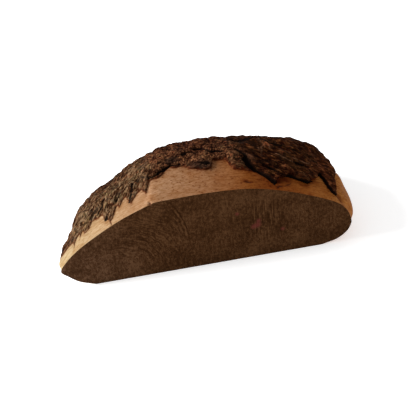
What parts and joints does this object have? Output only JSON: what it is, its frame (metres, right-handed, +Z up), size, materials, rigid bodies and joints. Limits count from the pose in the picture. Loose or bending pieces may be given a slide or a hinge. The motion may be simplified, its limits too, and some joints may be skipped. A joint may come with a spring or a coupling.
{
  "type": "briar root burl",
  "caption": "Sawn segment of a briar root burl with a flat half-moon face, a flat base, a peeled edge and rough bark over the rounded top and back.",
  "frame": {"origin": "on the sawn base, midway along the sawn face and under the middle of the burl", "axes": "+X along the sawn face to the right as seen from the front, +Y from the sawn face into the burl, +Z up from the base"},
  "size_m": [0.2569, 0.1204, 0.0832],
  "materials": {
    "bark_and_wood": "rough bark, with bare sawn wood on the face and base"
  },
  "bodies": {
    "root": {"briar_burl": "bark_and_wood"}
  },
  "joints": []
}
